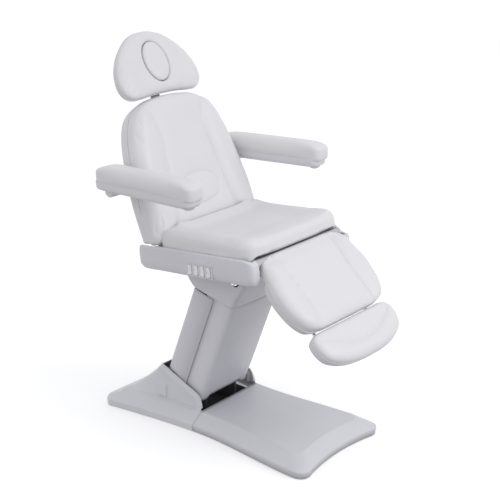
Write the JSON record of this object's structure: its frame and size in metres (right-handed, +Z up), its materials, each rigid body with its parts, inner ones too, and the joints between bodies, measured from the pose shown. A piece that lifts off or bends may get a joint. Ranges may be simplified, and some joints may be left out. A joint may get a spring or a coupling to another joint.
{
  "type": "examination table",
  "caption": "Powered examination table in chair form: lift column on a floor base, tilting seat with rocker switches, reclining back with armrests and headrest, leg rest and sliding foot rest.",
  "frame": {"origin": "on the floor, at the middle of the chassis plate of the base", "axes": "+Z up, the foot end faces -Y, the sitter's right side with the switches is -X"},
  "size_m": [0.8268, 1.164, 1.5027],
  "materials": {
    "upholstery": "white coated upholstery fabric over foam, satin",
    "white_cover": "satin",
    "white_switch": "satin",
    "grey_plastic": "matte",
    "actuator_grey": "matte",
    "black_steel": "satin",
    "bright_steel": "polished",
    "plywood": "matte"
  },
  "bodies": {
    "back": {"arm_crossbar": "bright_steel", "back_board": "plywood", "back_cushion": "upholstery", "back_frame": "black_steel", "back_shell": "white_cover"},
    "back_motor": {"back_actuator": "actuator_grey"},
    "seat": {"back_hinge_pin": "bright_steel", "left_side_cover": "white_cover", "leg_hinge_pin": "bright_steel", "right_side_cover": "white_cover", "seat_cushion": "upholstery", "seat_pan": "black_steel", "switch_panel": "grey_plastic"},
    "back_ram": {"back_rod": "bright_steel"},
    "base": {"base_chassis": "black_steel", "base_front_cover": "white_cover", "base_rear_cover": "white_cover", "front_lower_pin": "bright_steel", "rear_lower_pin": "bright_steel"},
    "carrier": {"carrier_cover": "white_cover", "front_upper_pin": "bright_steel", "seat_carrier": "black_steel", "tilt_shaft": "bright_steel"},
    "plug": {"face_plug": "upholstery"},
    "foot_rest": {"foot_cushion": "upholstery", "foot_rod_left": "bright_steel", "foot_rod_right": "bright_steel", "foot_shell": "white_cover"},
    "leg_rest": {"foot_guide_left": "grey_plastic", "foot_guide_right": "grey_plastic", "leg_board": "plywood", "leg_cushion": "upholstery", "leg_frame": "black_steel", "leg_shell": "white_cover"},
    "front_arm": {"front_column_cover": "white_cover", "front_lift_arm": "black_steel"},
    "headrest": {"headrest_bracket": "black_steel", "headrest_cushion": "upholstery", "headrest_shell": "white_cover"},
    "headrest_slider": {"headrest_pin": "bright_steel", "headrest_post": "bright_steel"},
    "left_armrest": {"left_arm_pad": "upholstery", "left_arm_tray": "white_cover"},
    "leg_motor": {"leg_actuator": "actuator_grey"},
    "leg_ram": {"leg_rod": "bright_steel"},
    "lift_motor": {"lift_actuator": "actuator_grey"},
    "lift_ram": {"lift_rod": "bright_steel"},
    "knob": {"lock_knob": "bright_steel"},
    "rear_arm": {"rear_column_cover": "white_cover", "rear_lift_arm": "black_steel", "rear_upper_pin": "bright_steel"},
    "right_armrest": {"right_arm_pad": "upholstery", "right_arm_tray": "white_cover"},
    "switch_1": {"rocker_switch_1": "white_switch"},
    "switch_2": {"rocker_switch_2": "white_switch"},
    "switch_3": {"rocker_switch_3": "white_switch"},
    "switch_4": {"rocker_switch_4": "white_switch"},
    "tilt_motor": {"tilt_actuator": "actuator_grey"},
    "tilt_ram": {"tilt_rod": "bright_steel"}
  },
  "joints": [
    {"name": "lift", "type": "hinge", "parent": "base", "child": "rear_arm", "pos_m": [0, 0.199, 0.165], "axis": [-1, 0, 0], "range_deg": [-37, 5]},
    {"name": "front_arm_swing", "type": "hinge", "parent": "base", "child": "front_arm", "pos_m": [0, 0.10564, 0.12916], "axis": [-1, 0, 0], "range_deg": [-38, 6]},
    {"name": "carrier_level", "type": "hinge", "parent": "rear_arm", "child": "carrier", "pos_m": [0, 0.02842, 0.60938], "axis": [-1, 0, 0], "range_deg": [-6, 38]},
    {"name": "lift_motor_swing", "type": "hinge", "parent": "base", "child": "lift_motor", "pos_m": [0, 0.10564, 0.12916], "axis": [-1, 0, 0], "range_deg": [-38.43, 6.06]},
    {"name": "lift_ram_stroke", "type": "slide", "parent": "lift_motor", "child": "lift_ram", "axis": [0, -0.1588, 0.9873], "range_m": [-0.0644, 0.0096]},
    {"name": "seat_tilt", "type": "hinge", "parent": "carrier", "child": "seat", "pos_m": [0, -0.13, 0.655], "axis": [-1, 0, 0], "range_deg": [-5, 8]},
    {"name": "tilt_motor_swing", "type": "hinge", "parent": "seat", "child": "tilt_motor", "pos_m": [0.2, 0.12927, 0.6892], "axis": [-1, 0, 0], "range_deg": [-1, 1]},
    {"name": "tilt_ram_stroke", "type": "slide", "parent": "tilt_motor", "child": "tilt_ram", "axis": [0, -0.9981, 0.0611], "range_m": [-0.0054, 0.008]},
    {"name": "back_recline", "type": "hinge", "parent": "seat", "child": "back", "pos_m": [0, 0.19299, 0.7807], "axis": [-1, 0, 0], "range_deg": [-5, 60]},
    {"name": "back_motor_swing", "type": "hinge", "parent": "seat", "child": "back_motor", "pos_m": [-0.127, -0.21831, 0.73149], "axis": [-1, 0, 0], "range_deg": [-1.02, 1.19]},
    {"name": "back_ram_stroke", "type": "slide", "parent": "back_motor", "child": "back_ram", "axis": [0, 0.9989, -0.0459], "range_m": [-0.0763, 0.0073]},
    {"name": "leg_lift", "type": "hinge", "parent": "seat", "child": "leg_rest", "pos_m": [0, -0.29671, 0.78495], "axis": [-1, 0, 0], "range_deg": [-12, 48]},
    {"name": "leg_motor_swing", "type": "hinge", "parent": "seat", "child": "leg_motor", "pos_m": [0.127, 0.10013, 0.69993], "axis": [-1, 0, 0], "range_deg": [-1.5, 1.13]},
    {"name": "leg_ram_stroke", "type": "slide", "parent": "leg_motor", "child": "leg_ram", "axis": [0, -0.9969, 0.0793], "range_m": [-0.0127, 0.0478]},
    {"name": "foot_extend", "type": "slide", "parent": "leg_rest", "child": "foot_rest", "axis": [0, -0.7302, -0.6833], "range_m": [0, 0.1]},
    {"name": "lock_turn", "type": "hinge", "parent": "leg_rest", "child": "knob", "pos_m": [-0.16, -0.37733, 0.65158], "axis": [0, -0.6833, 0.7302], "range_deg": [-90, 90]},
    {"name": "right_armrest_swing", "type": "hinge", "parent": "back", "child": "right_armrest", "pos_m": [0, 0.30425, 0.96705], "axis": [-1, 0, 0], "range_deg": [-60, 75]},
    {"name": "left_armrest_swing", "type": "hinge", "parent": "back", "child": "left_armrest", "pos_m": [0, 0.30425, 0.96705], "axis": [-1, 0, 0], "range_deg": [-60, 75]},
    {"name": "headrest_raise", "type": "slide", "parent": "back", "child": "headrest_slider", "axis": [0, 0.3907, 0.9205], "range_m": [0, 0.07]},
    {"name": "headrest_tilt", "type": "hinge", "parent": "headrest_slider", "child": "headrest", "pos_m": [0, 0.42831, 1.26854], "axis": [-1, 0, 0], "range_deg": [-6, 35]},
    {"name": "plug_pull", "type": "slide", "parent": "headrest", "child": "plug", "axis": [0, -0.8746, 0.4848], "range_m": [0, 0.06]},
    {"name": "switch_1_rock", "type": "hinge", "parent": "seat", "child": "switch_1", "pos_m": [-0.298, -0.03181, 0.72021], "axis": [0, -0.9957, 0.0924], "range_deg": [-7, 7], "stiffness_Nm_per_rad": 0.4},
    {"name": "switch_2_rock", "type": "hinge", "parent": "seat", "child": "switch_2", "pos_m": [-0.298, -0.06218, 0.72303], "axis": [0, -0.9957, 0.0924], "range_deg": [-7, 7], "stiffness_Nm_per_rad": 0.4},
    {"name": "switch_3_rock", "type": "hinge", "parent": "seat", "child": "switch_3", "pos_m": [-0.298, -0.09255, 0.72584], "axis": [0, -0.9957, 0.0924], "range_deg": [-7, 7], "stiffness_Nm_per_rad": 0.4},
    {"name": "switch_4_rock", "type": "hinge", "parent": "seat", "child": "switch_4", "pos_m": [-0.298, -0.12292, 0.72866], "axis": [0, -0.9957, 0.0924], "range_deg": [-7, 7], "stiffness_Nm_per_rad": 0.4}
  ],
  "couplings": [
    {"joint": "front_arm_swing", "follows": "lift", "ratio": 1},
    {"joint": "carrier_level", "follows": "lift", "ratio": -1},
    {"joint": "lift_motor_swing", "follows": "lift", "ratio": 1.0115},
    {"joint": "lift_ram_stroke", "follows": "lift", "m_per_rad": 0.098246},
    {"joint": "tilt_motor_swing", "follows": "seat_tilt", "ratio": 0.000483},
    {"joint": "tilt_ram_stroke", "follows": "seat_tilt", "m_per_rad": 0.049904},
    {"joint": "back_motor_swing", "follows": "back_recline", "ratio": 0.003103},
    {"joint": "back_ram_stroke", "follows": "back_recline", "m_per_rad": -0.07193},
    {"joint": "leg_motor_swing", "follows": "leg_lift", "ratio": -0.010418},
    {"joint": "leg_ram_stroke", "follows": "leg_lift", "m_per_rad": 0.055858}
  ]
}
